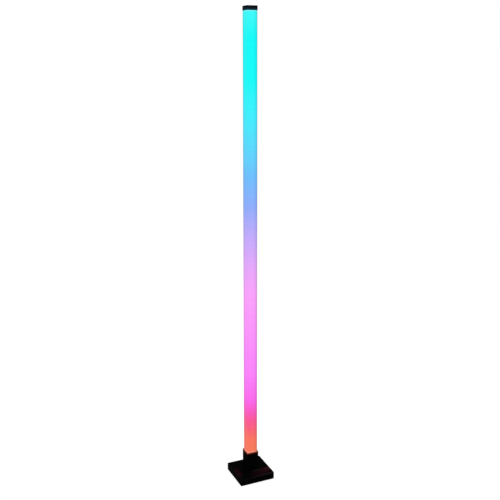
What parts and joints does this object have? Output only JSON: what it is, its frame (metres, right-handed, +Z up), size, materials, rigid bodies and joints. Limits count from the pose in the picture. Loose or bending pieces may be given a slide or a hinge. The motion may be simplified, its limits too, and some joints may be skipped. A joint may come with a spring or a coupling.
{
  "type": "corner floor lamp",
  "caption": "Slim square light column with two lit faces, standing in a square collar on a small weighted square base, for a room's corner.",
  "frame": {"origin": "on the floor under the centre of the square base, which is also the column's axis", "axes": "+Z up along the column; the column's lit corner points to -X -Y; +Y to the rear, where the power inlet and the push button are"},
  "size_m": [0.111, 0.1124, 1.4],
  "materials": {
    "cover_black": "satin black moulding",
    "cap_black": "satin black moulding",
    "collar_black": "black powder coat, satin",
    "channel_black": "black anodised extrusion",
    "opal": "opal, lit from inside",
    "strip_white": "white flexible circuit",
    "led_package": "white package with a clear window",
    "chip_black": "moulded chip package",
    "ballast_steel": "oiled mild steel",
    "plate_black": "black powder coat on sheet steel",
    "pad_rubber": "matt black rubber",
    "screw_black": "black zinc plate",
    "screw_zinc": "clear zinc plate",
    "board_green": "dark green solder mask",
    "shield_tin": "tinned steel",
    "capacitor_sleeve": "bare aluminium can",
    "connector_cream": "natural nylon",
    "inlet_black": "black moulding",
    "contact_nickel": "nickel-plated brass",
    "switch_grey": "dark grey moulding",
    "button_black": "satin black moulding",
    "lead_white": "white sheath",
    "grommet_black": "black rubber"
  },
  "bodies": {
    "lamp": {"channel": "channel_black", "diffuser": "opal", "led_strip": "strip_white", "leds": "led_package", "pixel_chips": "chip_black", "top_cap": "cap_black", "collar": "collar_black", "column_screws": "screw_zinc", "lead_grommet": "grommet_black", "strip_clip": "connector_cream", "strip_lead": "lead_white", "base_cover": "cover_black", "ballast": "ballast_steel", "bottom_plate": "plate_black", "plate_screws": "screw_black", "foot_pads": "pad_rubber", "control_board": "board_green", "board_screws": "screw_zinc", "radio_module": "shield_tin", "filter_capacitor": "capacitor_sleeve", "voltage_regulator": "chip_black", "lead_connector": "connector_cream", "power_inlet": "inlet_black", "inlet_pin": "contact_nickel", "switch_housing": "switch_grey"},
    "button": {"power_button": "button_black", "switch_plunger": "switch_grey"}
  },
  "joints": [
    {"name": "button_press", "type": "slide", "parent": "lamp", "child": "button", "axis": [0, -1, 0], "range_m": [0, 0.001], "stiffness_N_per_m": 400, "springref_m": -0.001}
  ]
}
